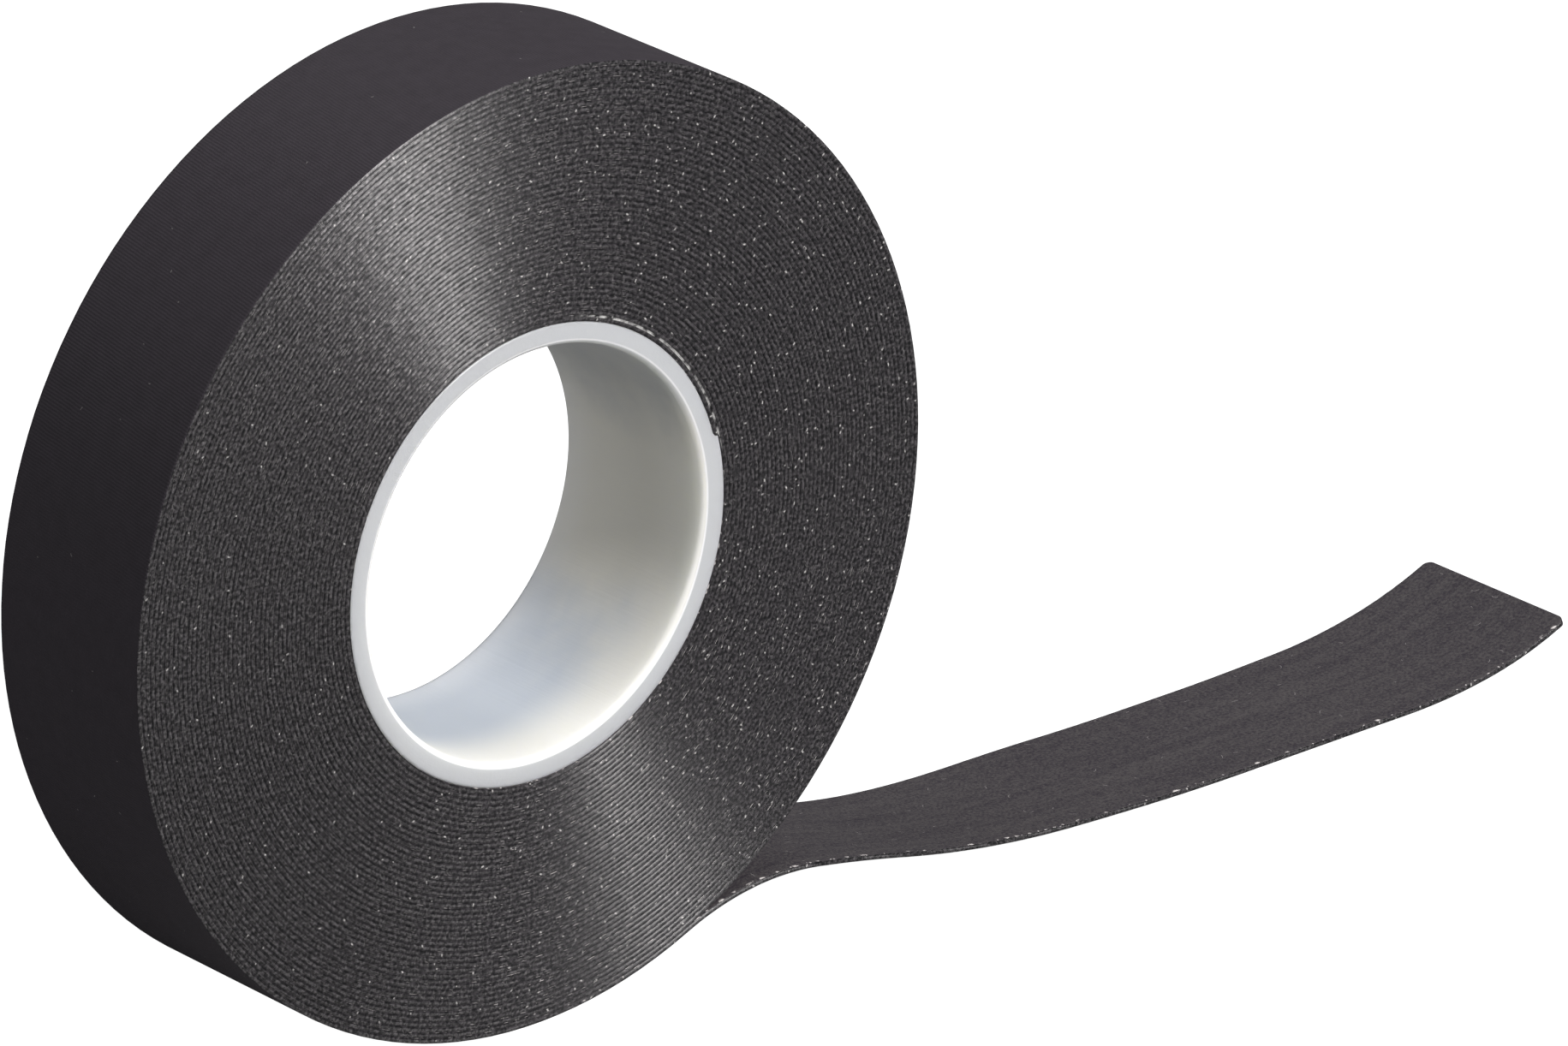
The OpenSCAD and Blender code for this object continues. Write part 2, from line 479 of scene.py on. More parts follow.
# Sweeps the cross-section along the strip's line, which lies flat in XY here, and stands the
# result up. The UV map holds the metres along and across the strip, and the attribute Depth the
# metres below its inner face.
strip_sockets = section_sockets + [
    ("Wander", "NodeSocketFloat", 0.0), ("Ragged", "NodeSocketFloat", 0.0),
    ("Seed", "NodeSocketFloat", 3.0), ("Material", "NodeSocketMaterial", None),
    ("Edge Material", "NodeSocketMaterial", None)]
sweep_group, sweep_in, sweep_out = new_group(
    "strip_sweep", "GeometryNodeTree",
    [("Line", "NodeSocketGeometry", None), *strip_sockets,
     ("Width Share", "NodeSocketFloat", 1.0), ("Rear Drop", "NodeSocketFloat", 0.0),
     ("Along Offset", "NodeSocketFloat", 0.0), ("Wander Length", "NodeSocketFloat", 0.03),
     ("Ragged Length", "NodeSocketFloat", 0.001), ("Cut Corner", "NodeSocketFloat", 0.0)],
    [("Geometry", "NodeSocketGeometry", None)])


def handed_on(entry, sockets):
    """A group's own inputs of those names, to hand to a group inside it."""
    return {name: entry[name] for name, _, _ in sockets}


g = sweep_group
line = put(g, "GeometryNodeSetCurveNormal", {"Curve": sweep_in["Line"]}, mode="Z_UP")
spline = g.nodes.new("GeometryNodeSplineParameter").outputs
to_end = calc(g, "SUBTRACT", g.nodes.new("GeometryNodeSplineLength").outputs["Length"],
              spline["Length"])
kept = g.nodes.new("GeometryNodeCaptureAttribute")
for kept_name in ("Along", "To End", "Share", "Drop"):
    kept.capture_items.new("FLOAT", kept_name)
fill(g, kept.inputs["Geometry"], line.outputs[0])
fill(g, kept.inputs["Along"], calc(g, "ADD", spline["Length"], sweep_in["Along Offset"]))
fill(g, kept.inputs["To End"], to_end)
fill(g, kept.inputs["Share"], sweep_in["Width Share"])
fill(g, kept.inputs["Drop"], sweep_in["Rear Drop"])
section = use_group(g, profile_group, handed_on(sweep_in, section_sockets))["Curve"]
kept_across = g.nodes.new("GeometryNodeCaptureAttribute")
kept_across.capture_items.new("FLOAT", "Across")
kept_across.capture_items.new("FLOAT", "Depth")
section_spot = put(g, "ShaderNodeSeparateXYZ", {
    "Vector": g.nodes.new("GeometryNodeInputPosition").outputs[0]}).outputs
fill(g, kept_across.inputs["Geometry"], section)
fill(g, kept_across.inputs["Across"], section_spot["Y"])
fill(g, kept_across.inputs["Depth"], section_spot["X"])
swept = put(g, "GeometryNodeCurveToMesh", {
    "Curve": kept.outputs["Geometry"], "Profile Curve": kept_across.outputs["Geometry"],
    "Fill Caps": True}).outputs[0]
across = kept_across.outputs["Across"]
along = kept.outputs["Along"]
uv = put(g, "ShaderNodeCombineXYZ", {"X": along, "Y": across, "Z": 0.0}).outputs[0]
swept = put(g, "GeometryNodeStoreNamedAttribute", {
    "Geometry": swept, "Name": "UVMap", "Value": uv}, data_type="FLOAT2",
    domain="CORNER").outputs[0]
swept = put(g, "GeometryNodeStoreNamedAttribute", {
    "Geometry": swept, "Name": "Depth", "Value": kept_across.outputs["Depth"]},
    data_type="FLOAT", domain="POINT").outputs[0]


def wave_noise(tree, value, length, seed):
    """Smooth noise along a line, from -1 to 1, that changes over about the given length."""
    noise = put(tree, "ShaderNodeTexNoise", {
        "W": calc(tree, "ADD", calc(tree, "DIVIDE", value, length), seed),
        "Scale": 1.0, "Detail": 2.0}, noise_dimensions="1D")
    return calc(tree, "MULTIPLY", calc(tree, "SUBTRACT", noise.outputs[0], 0.5), 2)


# The cut corners: across is held within a quarter circle as the strip's end comes near.
corner = sweep_in["Cut Corner"]
short = calc(g, "MAXIMUM", calc(g, "SUBTRACT", corner, kept.outputs["To End"]), 0)
rounded = calc(g, "SQRT", calc(g, "MAXIMUM", calc(
    g, "SUBTRACT", calc(g, "MULTIPLY", corner, corner), calc(g, "MULTIPLY", short, short)), 0))
reach = calc(g, "ADD", calc(g, "SUBTRACT", calc(g, "DIVIDE", sweep_in["Width"], 2), corner),
             rounded)
held = calc(g, "MINIMUM", calc(g, "ABSOLUTE", across), reach)
held = calc(g, "MULTIPLY", held, calc(g, "SIGN", across))
# A stretched strip keeps Width Share of its width, drawn in from its rear edge, and a slanted
# pull leaves that edge lower by Rear Drop.
drawn_in = calc(g, "MULTIPLY", calc(g, "GREATER_THAN", across, 0), calc(
    g, "MULTIPLY", calc(g, "SUBTRACT", 1, kept.outputs["Share"]), 2))
narrowed = calc(g, "MULTIPLY", held, calc(g, "SUBTRACT", 1, drawn_in))
wander = calc(g, "MULTIPLY", sweep_in["Wander"], wave_noise(
    g, along, sweep_in["Wander Length"], sweep_in["Seed"]))
ragged_noise = wave_noise(g, along, sweep_in["Ragged Length"], calc(
    g, "ADD", sweep_in["Seed"], calc(g, "MULTIPLY", calc(g, "SIGN", across), 400)))
ragged = calc(g, "MULTIPLY", sweep_in["Ragged"], ragged_noise)
shift = calc(g, "ADD", calc(g, "SUBTRACT", narrowed, across), calc(g, "ADD", wander, ragged))
rear_share = calc(g, "ADD", calc(g, "DIVIDE", across, sweep_in["Width"]), 0.5)
sink = calc(g, "MULTIPLY", calc(g, "MULTIPLY", kept.outputs["Drop"], rear_share), -1)
swept = put(g, "GeometryNodeSetPosition", {
    "Geometry": swept,
    "Offset": put(g, "ShaderNodeCombineXYZ", {
        "X": 0.0, "Y": sink, "Z": calc(g, "MULTIPLY", shift, -1)}).outputs[0]})
standing = put(g, "GeometryNodeTransform", {
    "Geometry": swept.outputs[0], "Rotation": (math.pi / 2, 0, 0)})
realized = put(g, "GeometryNodeRealizeInstances", {"Geometry": standing.outputs[0]})
finished = put(g, "GeometryNodeSetMaterial", {
    "Geometry": realized.outputs[0], "Material": sweep_in["Material"]})
edge_from = calc(g, "SUBTRACT", calc(g, "DIVIDE", sweep_in["Width"], 2), calc(
    g, "ADD", sweep_in["Crown"], calc(g, "MULTIPLY", sweep_in["Bevel"], 0.8)))
finished = put(g, "GeometryNodeSetMaterial", {
    "Geometry": finished.outputs[0], "Material": sweep_in["Edge Material"],
    "Selection": calc(g, "GREATER_THAN", calc(g, "ABSOLUTE", across), edge_from)})
fill(g, sweep_out["Geometry"], finished.outputs[0])

# The wound strip's line: a spiral of even pitch, then the bend that leaves the roll.
wound_tree, wound_in, wound_out = new_group(
    "wound_strip", "GeometryNodeTree",
    [("Geometry", "NodeSocketGeometry", None), ("First Radius", "NodeSocketFloat", 0.02),
     ("Pitch", "NodeSocketFloat", 0.0005), ("Start Angle", "NodeSocketFloat", 0.0),
     ("Wound Angle", "NodeSocketFloat", 10.0), ("Spiral Steps", "NodeSocketInt", 100),
     ("Peel Radius", "NodeSocketFloat", 0.03), ("Peel Bend", "NodeSocketFloat", 0.5),
     ("Peel Steps", "NodeSocketInt", 20), *strip_sockets],
    [("Geometry", "NodeSocketGeometry", None)])
g = wound_tree
index = g.nodes.new("GeometryNodeInputIndex").outputs[0]
spiral_steps = wound_in["Spiral Steps"]
count = calc(g, "ADD", calc(g, "ADD", spiral_steps, wound_in["Peel Steps"]), 1)
turned = calc(g, "MULTIPLY", wound_in["Wound Angle"], calc(
    g, "MINIMUM", calc(g, "DIVIDE", index, spiral_steps), 1))
radius = calc(g, "ADD", wound_in["First Radius"], calc(
    g, "MULTIPLY", wound_in["Pitch"], calc(g, "DIVIDE", turned, math.tau)))
angle = calc(g, "ADD", wound_in["Start Angle"], turned)
peel_share = calc(g, "DIVIDE", calc(g, "SUBTRACT", index, spiral_steps), wound_in["Peel Steps"])
bent = calc(g, "MULTIPLY", wound_in["Peel Bend"], calc(g, "MAXIMUM", peel_share, 0))


def polar(tree, distance, turn):
    """A point in the XY plane, at a distance and angle from the middle."""
    return put(tree, "ShaderNodeCombineXYZ", {
        "X": calc(tree, "MULTIPLY", distance, calc(tree, "COSINE", turn)),
        "Y": calc(tree, "MULTIPLY", distance, calc(tree, "SINE", turn)), "Z": 0.0}).outputs[0]


bend_centre = polar(g, calc(g, "ADD", radius, wound_in["Peel Radius"]), angle)
bend_arm = polar(g, wound_in["Peel Radius"], calc(g, "SUBTRACT", angle, bent))
line = put(g, "GeometryNodeCurvePrimitiveLine")
line = put(g, "GeometryNodeResampleCurve", {"Curve": line.outputs[0], "Count": count})
line = put(g, "GeometryNodeSetPosition", {
    "Geometry": line.outputs[0], "Position": vector_calc(g, "SUBTRACT", bend_centre, bend_arm)})
swept = use_group(g, sweep_group, {
    "Line": line.outputs[0], "Wander Length": wander_length, "Ragged Length": ragged_length,
    **handed_on(wound_in, strip_sockets)})
fill(g, wound_out["Geometry"], swept["Geometry"])


def made_by(name, tree, values):
    """An object whose mesh the tree makes from those named values, with the modifier gone."""
    made = bpy.data.objects.new(name, bpy.data.meshes.new(name))
    bpy.context.scene.collection.objects.link(made)
    modifier = made.modifiers.new(name, "NODES")
    modifier.node_group = tree
    for item in tree.interface.items_tree:
        if item.in_out == "INPUT" and item.name in values:
            modifier[item.identifier] = values[item.name]
    graph = bpy.context.evaluated_depsgraph_get()
    mesh = bpy.data.meshes.new_from_object(made.evaluated_get(graph))
    made.modifiers.clear()
    made.data = mesh
    mesh.name = name
    return made


# Lint: short curved fibres or dots, strewn one to a cell, as a mask from 0 to 1.
lint_group, lint_in, lint_out = new_group(
    "lint", "ShaderNodeTree",
    [("Vector", "NodeSocketVector", None), ("Cell", "NodeSocketFloat", 0.003),
     ("Length", "NodeSocketFloat", 0.001), ("Width", "NodeSocketFloat", 0.00005),
     ("Curl", "NodeSocketFloat", 0.5), ("Share", "NodeSocketFloat", 0.5)],
    [("Mask", "NodeSocketFloat", None)])
g = lint_group
scaled = vector_calc(g, "DIVIDE", lint_in["Vector"], put(g, "ShaderNodeCombineXYZ", {
    "X": lint_in["Cell"], "Y": lint_in["Cell"], "Z": lint_in["Cell"]}).outputs[0])
cells = put(g, "ShaderNodeTexVoronoi", {"Vector": scaled, "Scale": 1.0},
            voronoi_dimensions="2D", feature="F1")
luck = put(g, "ShaderNodeSeparateColor", {"Color": cells.outputs["Color"]}).outputs
offset = vector_calc(g, "SUBTRACT", scaled, cells.outputs["Position"])
turned = put(g, "ShaderNodeVectorRotate", {
    "Vector": offset, "Angle": calc(g, "MULTIPLY", luck["Red"], math.tau)},
    rotation_type="Z_AXIS")
own = put(g, "ShaderNodeSeparateXYZ", {"Vector": turned.outputs[0]}).outputs
lie = calc(g, "MULTIPLY", own["X"], lint_in["Cell"])
bow = calc(g, "MULTIPLY", calc(g, "MULTIPLY", lie, lie), calc(g, "DIVIDE", calc(
    g, "MULTIPLY", calc(g, "SUBTRACT", luck["Green"], 0.5), lint_in["Curl"]), lint_in["Length"]))
off_line = calc(g, "ABSOLUTE", calc(g, "SUBTRACT", calc(
    g, "MULTIPLY", own["Y"], lint_in["Cell"]), bow))
own_half = calc(g, "MULTIPLY", lint_in["Length"], calc(
    g, "ADD", 0.15, calc(g, "MULTIPLY", luck["Blue"], 0.35)))
within = ramp_up(g, calc(g, "ABSOLUTE", lie), own_half, calc(g, "MULTIPLY", own_half, 0.7))
thin = ramp_up(g, off_line, lint_in["Width"], calc(g, "MULTIPLY", lint_in["Width"], 0.3))
there = calc(g, "LESS_THAN", put(g, "ShaderNodeTexWhiteNoise", {
    "Vector": cells.outputs["Position"]}, noise_dimensions="2D").outputs["Value"],
    lint_in["Share"])
fill(g, lint_out["Mask"], calc(g, "MULTIPLY", calc(g, "MULTIPLY", within, thin), there))

# The backing's finish: fine moulded ribs that run across the strip at a slight slant, and a dull
# grain.
rib_pitch = 0.30 * MM
rib_slant = 0.12
rib_wobble = 0.25 * MM
backing, tree, shader, place = new_finish("black_rubber", (0.02, 0.018, 0.021), 0.62, 0.4)
strip = put(tree, "ShaderNodeSeparateXYZ", {"Vector": place["UV"]}).outputs
wobble = use_group(tree, grain_group, {"Vector": place["UV"], "Size": 2.5 * MM})["Value"]
rib_place = calc(tree, "ADD", strip["X"], calc(tree, "MULTIPLY", strip["Y"], rib_slant))
rib_place = calc(tree, "ADD", rib_place, calc(tree, "MULTIPLY", wobble, rib_wobble))
ribs = calc(tree, "SINE", calc(tree, "MULTIPLY", rib_place, math.tau / rib_pitch))
ribs = calc(tree, "ADD", calc(tree, "MULTIPLY", ribs, 0.5), 0.5)
fine_grain = use_group(tree, grain_group, {"Vector": place["UV"], "Size": 0.22 * MM})["Value"]
mottle = use_group(tree, grain_group, {"Vector": place["UV"], "Size": 1.6 * MM})["Value"]
rim_dots = use_group(tree, lint_group, {
    "Vector": place["UV"], "Cell": 2.6 * MM, "Length": 0.4 * MM, "Width": 0.06 * MM, "Curl": 2.0,
    "Share": 0.10})["Mask"]
shade = mixed(tree, mottle, (0.022, 0.017, 0.023, 1), (0.038, 0.031, 0.040, 1))
shade = mixed(tree, calc(tree, "MULTIPLY", rim_dots, 0.35), shade, (0.50, 0.48, 0.46, 1))
fill(tree, shader.inputs["Base Color"], shade)
fill(tree, shader.inputs["Roughness"], calc(tree, "ADD", 0.55, calc(
    tree, "MULTIPLY", fine_grain, 0.2)))
relief = bumped(tree, ribs, 0.015 * MM)
relief = bumped(tree, fine_grain, 0.03 * MM, relief)
fill(tree, shader.inputs["Normal"], relief)

# The cut edges' finish: the knife drags the rubber along the strip and smears the middle of each
# turn's edge, which gleams across its own run and is dull along it. The rest is torn and dull.
# Towards +X the edges are given less gloss and more lint dots. A little pale adhesive is
# squeezed out over the first turn.
backing_t = strip_t - adhesive_t - layer_gap
smear_edge = 0.36 * backing_t
smear_full = 0.18 * backing_t
dash_length = 1.3 * MM
plus_x_from = -26 * MM
plus_x_full = 16 * MM
torn_dark = (0.004, 0.004, 0.005, 1)
torn_light = (0.054, 0.049, 0.054, 1)
smear_dark = (0.080, 0.077, 0.079, 1)
smear_light = (0.250, 0.240, 0.246, 1)
lint_pale = (0.60, 0.58, 0.57, 1)
squeezed_pale = (0.62, 0.61, 0.60, 1)
squeezed_edge = 0.16 * MM
squeezed_full = 0.05 * MM
squeezed_start = [math.radians(a) for a in (10, 18)]
squeezed_end = [math.radians(a) for a in (84, 70)]
cut_edge, tree, shader, place = new_finish("cut_rubber", (0.02, 0.019, 0.021), 0.45, 0.5)
shader.inputs["Anisotropic"].default_value = 0.8
shader.inputs["Anisotropic Rotation"].default_value = 0.25
fill(tree, shader.inputs["Tangent"], put(
    tree, "ShaderNodeTangent", direction_type="RADIAL", axis="Y").outputs[0])
strip = put(tree, "ShaderNodeSeparateXYZ", {"Vector": place["UV"]}).outputs
spot = put(tree, "ShaderNodeSeparateXYZ", {"Vector": place["Object"]}).outputs
face_spot = put(tree, "ShaderNodeCombineXYZ", {
    "X": spot["X"], "Y": spot["Z"], "Z": 0.0}).outputs[0]
from_axis = vector_calc(tree, "LENGTH", face_spot)
depth = put(tree, "ShaderNodeAttribute", attribute_name="Depth").outputs["Fac"]
from_middle = calc(tree, "ABSOLUTE", calc(tree, "SUBTRACT", depth, strip_t - backing_t / 2))
smeared = ramp_up(tree, from_middle, smear_edge, smear_full)
along_only = put(tree, "ShaderNodeCombineXYZ", {"X": strip["X"], "Y": 0.0, "Z": 0.0}).outputs[0]
dash_noise = use_group(tree, grain_group, {"Vector": along_only, "Size": dash_length})["Value"]
dashes = ramp_up(tree, dash_noise, 0.38, 0.54)
gloss = calc(tree, "MULTIPLY", smeared, calc(
    tree, "ADD", 0.15, calc(tree, "MULTIPLY", dashes, 0.85)))
# The edges get less gloss towards +X, and more lint dots there.
plus_x_share = ramp_up(tree, spot["X"], plus_x_from, plus_x_full)
gloss = calc(tree, "MULTIPLY", gloss, calc(
    tree, "SUBTRACT", 1, calc(tree, "MULTIPLY", plus_x_share, 0.85)))
cut_vector = put(tree, "ShaderNodeCombineXYZ", {
    "X": calc(tree, "MULTIPLY", strip["X"], 0.2), "Y": from_axis, "Z": 0.0}).outputs[0]
cut_marks = use_group(tree, grain_group, {"Vector": cut_vector, "Size": 0.16 * MM})["Value"]
felt = use_group(tree, grain_group, {"Vector": face_spot, "Size": 0.34 * MM})["Value"]
face_fibres = use_group(tree, lint_group, {
    "Vector": face_spot, "Cell": 0.9 * MM, "Length": 0.8 * MM, "Width": 0.07 * MM, "Curl": 3.0,
    "Share": 0.6})["Mask"]
face_dots = use_group(tree, lint_group, {
    "Vector": face_spot, "Cell": 0.9 * MM, "Length": 0.35 * MM, "Width": 0.11 * MM, "Curl": 0.0,
    "Share": calc(tree, "ADD", 0.05, calc(tree, "MULTIPLY", plus_x_share, 0.16))})["Mask"]
lint = calc(tree, "MAXIMUM", calc(tree, "MULTIPLY", face_fibres, 0.10),
            calc(tree, "MULTIPLY", face_dots, 0.65))
turn = calc(tree, "ARCTAN2", spot["Z"], spot["X"])
first_joint = calc(tree, "ADD", first_r + wind_pitch, calc(
    tree, "MULTIPLY", calc(tree, "SUBTRACT", turn, math.radians(start_angle)),
    wind_pitch / math.tau))
squeezed = ramp_up(tree, calc(tree, "ABSOLUTE", calc(
    tree, "SUBTRACT", from_axis, first_joint)), squeezed_edge, squeezed_full)
squeezed = calc(tree, "MULTIPLY", squeezed, ramp_up(tree, turn, *squeezed_start))
squeezed = calc(tree, "MULTIPLY", squeezed, ramp_up(tree, turn, *squeezed_end))
blots = use_group(tree, grain_group, {"Vector": face_spot, "Size": 1.1 * MM})["Value"]
squeezed = calc(tree, "MULTIPLY", squeezed, ramp_up(tree, blots, 0.38, 0.60))
tufts = ramp_up(tree, felt, 0.40, 0.66)
shade = mixed(tree, tufts, torn_dark, torn_light)
smear_shade = mixed(tree, tufts, smear_dark, smear_light)
shade = mixed(tree, gloss, shade, smear_shade)
shade = mixed(tree, lint, shade, lint_pale)
shade = mixed(tree, calc(tree, "MULTIPLY", squeezed, 0.8), shade, squeezed_pale)
covered = calc(tree, "SUBTRACT", 1, calc(tree, "MAXIMUM", lint, squeezed))
fill(tree, shader.inputs["Base Color"], shade)
fill(tree, shader.inputs["Metallic"], calc(tree, "MULTIPLY", gloss, covered))
fill(tree, shader.inputs["Roughness"], calc(tree, "ADD", calc(
    tree, "ADD", 0.30, calc(tree, "MULTIPLY", gloss, 0.20)), calc(
    tree, "MULTIPLY", cut_marks, 0.12)))
relief = bumped(tree, cut_marks, 0.02 * MM)
relief = bumped(tree, felt, 0.012 * MM, relief)
fill(tree, shader.inputs["Normal"], relief)

# The adhesive's finish: a dull, speckled coat, with a little lint stuck to it and pale flecks
# along its front edge.
tacky_dark = (0.026, 0.021, 0.029, 1)
tacky_light = (0.074, 0.067, 0.069, 1)
tacky_lint = (0.70, 0.66, 0.65, 1)
edge_band = 0.45 * MM
edge_band_full = 0.15 * MM
adhesive, tree, shader, place = new_finish("tacky_black", (0.06, 0.055, 0.058), 0.6, 0.35)
strip = put(tree, "ShaderNodeSeparateXYZ", {"Vector": place["UV"]}).outputs
fine_grain = use_group(tree, grain_group, {"Vector": place["UV"], "Size": 0.16 * MM})["Value"]
speckle = use_group(tree, grain_group, {"Vector": place["UV"], "Size": 0.32 * MM})["Value"]
mottle = use_group(tree, grain_group, {"Vector": place["UV"], "Size": 1.2 * MM})["Value"]
streaks = use_group(tree, grain_group, {
    "Vector": vector_calc(tree, "MULTIPLY", place["UV"], (0.06, 1, 1)), "Size": 1.5 * MM})["Value"]
hairs = use_group(tree, lint_group, {
    "Vector": place["UV"], "Cell": 2.4 * MM, "Length": 0.9 * MM, "Width": 0.035 * MM, "Curl": 3.0,
    "Share": 0.22})["Mask"]
edge_dots = use_group(tree, lint_group, {
    "Vector": place["UV"], "Cell": 0.7 * MM, "Length": 0.4 * MM, "Width": 0.11 * MM, "Curl": 0.0,
    "Share": 0.5})["Mask"]
edge_flecks = use_group(tree, lint_group, {
    "Vector": place["UV"], "Cell": 1.5 * MM, "Length": 1.1 * MM, "Width": 0.30 * MM, "Curl": 0.0,
    "Share": 0.7})["Mask"]
front_edge = ramp_up(tree, strip["Y"], edge_band - strip_w / 2, edge_band_full - strip_w / 2)
lint = calc(tree, "MAXIMUM", calc(tree, "MULTIPLY", hairs, 0.35),
            calc(tree, "MULTIPLY", calc(tree, "MULTIPLY", edge_dots, front_edge), 0.8))
lint = calc(tree, "MAXIMUM", lint, calc(tree, "MULTIPLY", edge_flecks, front_edge))
tone = calc(tree, "ADD", calc(tree, "MULTIPLY", mottle, 0.2), calc(tree, "MULTIPLY", streaks, 0.2))
tone = calc(tree, "ADD", tone, calc(tree, "MULTIPLY", speckle, 0.6))
shade = mixed(tree, ramp_up(tree, tone, 0.36, 0.64), tacky_dark, tacky_light)
shade = mixed(tree, lint, shade, tacky_lint)
fill(tree, shader.inputs["Base Color"], shade)
relief = bumped(tree, fine_grain, 0.03 * MM)
fill(tree, shader.inputs["Normal"], relief)

adhesive_inset = 0.01 * MM
adhesive_w = strip_w - 2 * adhesive_inset
adhesive_bevel = 0.25 * adhesive_t
adhesive_crown = 0.1 * adhesive_t
strip_seed = 3.0
wound_sizes = {
    "First Radius": first_r, "Pitch": wind_pitch, "Start Angle": math.radians(start_angle),
    "Wound Angle": math.radians(wound_angle),
    "Spiral Steps": round(steps_a_turn * wound_angle / 360), "Peel Radius": peel_bend_r,
    "Peel Bend": peel_kept, "Peel Steps": peel_steps, "Margin": edge_margin,
    "Wander": 0.03 * MM, "Ragged": 0.02 * MM, "Seed": strip_seed, "Edge Material": cut_edge}
wound_backing = made_by("wound_tape_backing", wound_tree, {
    **wound_sizes, "Width": strip_w, "Near": adhesive_t + layer_gap, "Far": strip_t,
    "Bevel": edge_bevel, "Crown": edge_crown, "Material": backing})
wound_adhesive = made_by("wound_tape_adhesive", wound_tree, {
    **wound_sizes, "Width": adhesive_w, "Near": 0.0, "Far": adhesive_t,
    "Bevel": adhesive_bevel, "Crown": adhesive_crown, "Material": adhesive})
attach(wound_backing, "roll")
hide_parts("wound_backing")
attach(wound_adhesive, "roll")
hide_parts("wound_adhesive")

# Tail -----------------------------------------------------------------------------------------
# The free end of the same strip, peeled off and lying on the bench, with its cut end curled up.
# It bends all along its length, so each piece of it runs over one bending line, from the middle
# of one stretch to the middle of the next, and turns smoothly there.
tail_tree, tail_in, tail_out = new_group(
    "tail_strip", "GeometryNodeTree",
    [("Geometry", "NodeSocketGeometry", None), ("Hinge", "NodeSocketVector", None),
     ("Direction", "NodeSocketFloat", 0.0), ("Length Before", "NodeSocketFloat", 0.005),
     ("Length After", "NodeSocketFloat", 0.005), ("Bend Before", "NodeSocketFloat", 0.0),
     ("Bend After", "NodeSocketFloat", 0.0), ("Steps", "NodeSocketInt", 40),
     ("Crowding", "NodeSocketFloat", 1.0), ("From Peel", "NodeSocketFloat", 0.0),
     ("Pull Start", "NodeSocketFloat", 0.01), ("Pull Full", "NodeSocketFloat", 0.03),
     ("Necking", "NodeSocketFloat", 0.0), ("Neck End", "NodeSocketFloat", 0.1),
     ("Neck Fade", "NodeSocketFloat", 0.03), ("Rear Drop", "NodeSocketFloat", 0.0),
     ("Drop End", "NodeSocketFloat", 0.06), ("Along Offset", "NodeSocketFloat", 0.0),
     ("Cut Corner", "NodeSocketFloat", 0.0), *strip_sockets],
    [("Geometry", "NodeSocketGeometry", None)])
g = tail_tree
index = g.nodes.new("GeometryNodeInputIndex").outputs[0]
share = calc(g, "DIVIDE", index, tail_in["Steps"])
share = calc(g, "SUBTRACT", 1, calc(g, "POWER", calc(g, "SUBTRACT", 1, share),
                                    tail_in["Crowding"]))
whole = calc(g, "ADD", tail_in["Length Before"], tail_in["Length After"])
distance = calc(g, "SUBTRACT", calc(g, "MULTIPLY", share, whole), tail_in["Length Before"])
is_after = calc(g, "GREATER_THAN", distance, 0)
curvature_before = calc(g, "DIVIDE", tail_in["Bend Before"], tail_in["Length Before"])
curvature_after = calc(g, "DIVIDE", tail_in["Bend After"], tail_in["Length After"])
curvature = calc(g, "ADD", calc(g, "MULTIPLY", curvature_before, calc(
    g, "SUBTRACT", 1, is_after)), calc(g, "MULTIPLY", curvature_after, is_after))
half_turn = calc(g, "ADD", calc(g, "MULTIPLY", calc(g, "MULTIPLY", curvature, distance), 0.5),
                 1e-6)
chord = calc(g, "MULTIPLY", distance, calc(g, "DIVIDE", calc(g, "SINE", half_turn), half_turn))
reached = polar(g, chord, calc(g, "ADD", tail_in["Direction"], half_turn))
line = put(g, "GeometryNodeCurvePrimitiveLine")
line = put(g, "GeometryNodeResampleCurve", {
    "Curve": line.outputs[0], "Count": calc(g, "ADD", tail_in["Steps"], 1)})
line = put(g, "GeometryNodeSetPosition", {
    "Geometry": line.outputs[0],
    "Position": vector_calc(g, "ADD", tail_in["Hinge"], reached)})
gone = calc(g, "ADD", tail_in["From Peel"], calc(g, "ADD", distance, tail_in["Length Before"]))
pulled = ramp_up(g, gone, tail_in["Pull Start"], tail_in["Pull Full"])
neck_out = ramp_up(g, gone, tail_in["Neck End"], calc(
    g, "SUBTRACT", tail_in["Neck End"], tail_in["Neck Fade"]))
width_share = calc(g, "SUBTRACT", 1, calc(
    g, "MULTIPLY", tail_in["Necking"], calc(g, "MULTIPLY", pulled, neck_out)))
drop_out = ramp_up(g, gone, tail_in["Drop End"], tail_in["Pull Full"])
rear_drop = calc(g, "MULTIPLY", tail_in["Rear Drop"], calc(g, "MULTIPLY", pulled, drop_out))
swept = use_group(g, sweep_group, {
    "Line": line.outputs[0], "Width Share": width_share, "Rear Drop": rear_drop,
    "Wander Length": wander_length, "Ragged Length": ragged_length,
    "Along Offset": tail_in["Along Offset"], "Cut Corner": tail_in["Cut Corner"],
    **handed_on(tail_in, strip_sockets)})
fill(g, tail_out["Geometry"], swept["Geometry"])

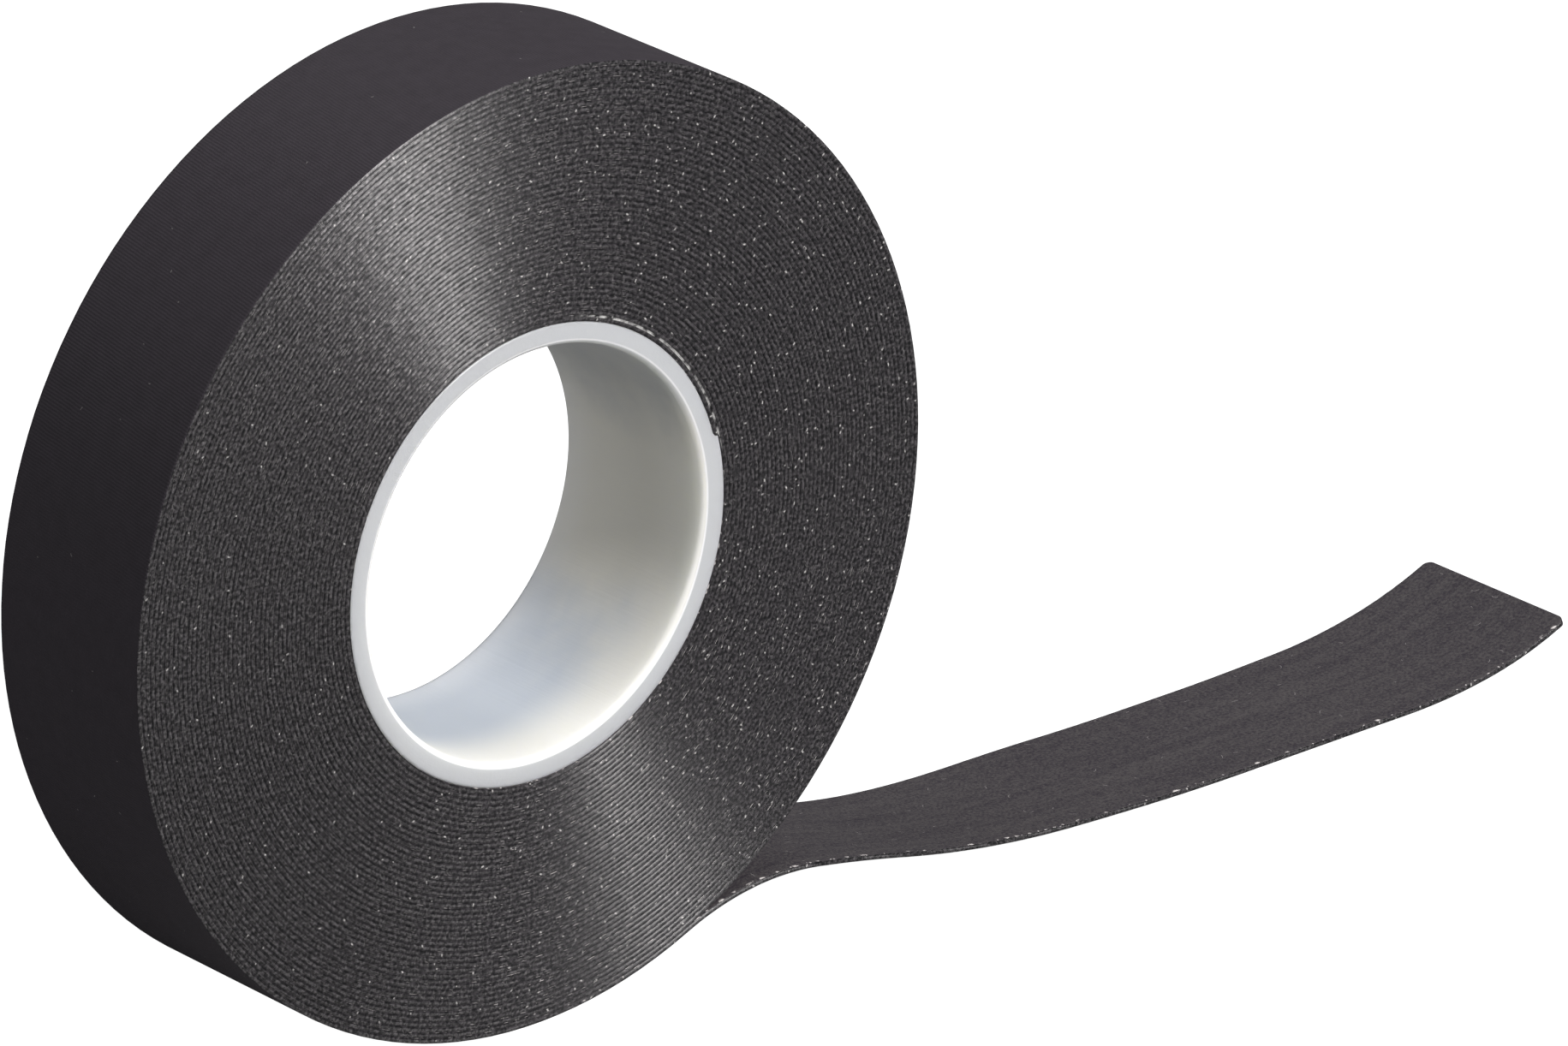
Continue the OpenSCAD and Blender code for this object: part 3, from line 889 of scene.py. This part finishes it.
stretch_l = 2 * half_stretch
peel_direction = math.radians(peel_angle + 90)
end_bend = math.radians(14.5)
necking = 0.07
neck_end = 112 * MM
neck_fade = 34 * MM
pull_full = 28 * MM
slant_drop = 1.1 * MM
slant_end = 60 * MM
corner_round = 0.9 * MM
stretch_steps = 54
end_steps = 80
end_crowding = 2.0
hinge_direction = peel_direction - math.radians(peel_bend)
wound_l = math.tau * (first_r + peel_r) / 2 * wound_angle / 360
peel_l = peel_bend_r * math.radians(peel_bend)
directions = [hinge_direction]
for here, after in zip(hinges, hinges[1:]):
    chord_direction = math.atan2(after.z - here.z, after.x - here.x)
    directions.append(2 * chord_direction - directions[-1])
directions.append(directions[-1] + end_bend)


for i, hinge in enumerate(hinges):
    is_last = i == len(hinges) - 1
    bend_after = (directions[i + 1] - directions[i]) * (1 if is_last else 0.5)
    length_after = stretch_l if is_last else half_stretch
    if i == 0:
        bend_before = -half_stretch / peel_bend_r
    else:
        bend_before = (directions[i] - directions[i - 1]) / 2
    from_peel = peel_l - half_stretch + i * stretch_l
    tail_sizes = {
        "Hinge": (hinge.x, hinge.z, 0), "Direction": directions[i],
        "Length Before": half_stretch, "Length After": length_after,
        "Bend Before": bend_before, "Bend After": bend_after,
        "Steps": end_steps if is_last else stretch_steps,
        "Crowding": end_crowding if is_last else 1.0, "From Peel": from_peel,
        "Pull Start": peel_l - half_stretch, "Pull Full": pull_full, "Necking": necking,
        "Neck End": neck_end, "Neck Fade": neck_fade, "Rear Drop": slant_drop,
        "Drop End": slant_end, "Margin": edge_margin, "Along Offset": wound_l + from_peel,
        "Wander": 0.05 * MM, "Ragged": 0.03 * MM,
        "Cut Corner": corner_round if is_last else 0.0, "Seed": strip_seed,
        "Edge Material": cut_edge}
    layers = (
        ("backing", strip_w, adhesive_t + layer_gap, strip_t, edge_bevel, edge_crown, backing),
        ("adhesive", adhesive_w, 0.0, adhesive_t, adhesive_bevel, adhesive_crown, adhesive))
    for layer, width, near, far, bevel, crown, material in layers:
        piece = made_by(f"tail_tape_{layer}_{i + 1}", tail_tree, {
            **tail_sizes, "Width": width, "Near": near, "Far": far, "Bevel": bevel,
            "Crown": crown, "Material": material})
        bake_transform(piece)
        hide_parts(f"tail_{layer}_{i + 1}")
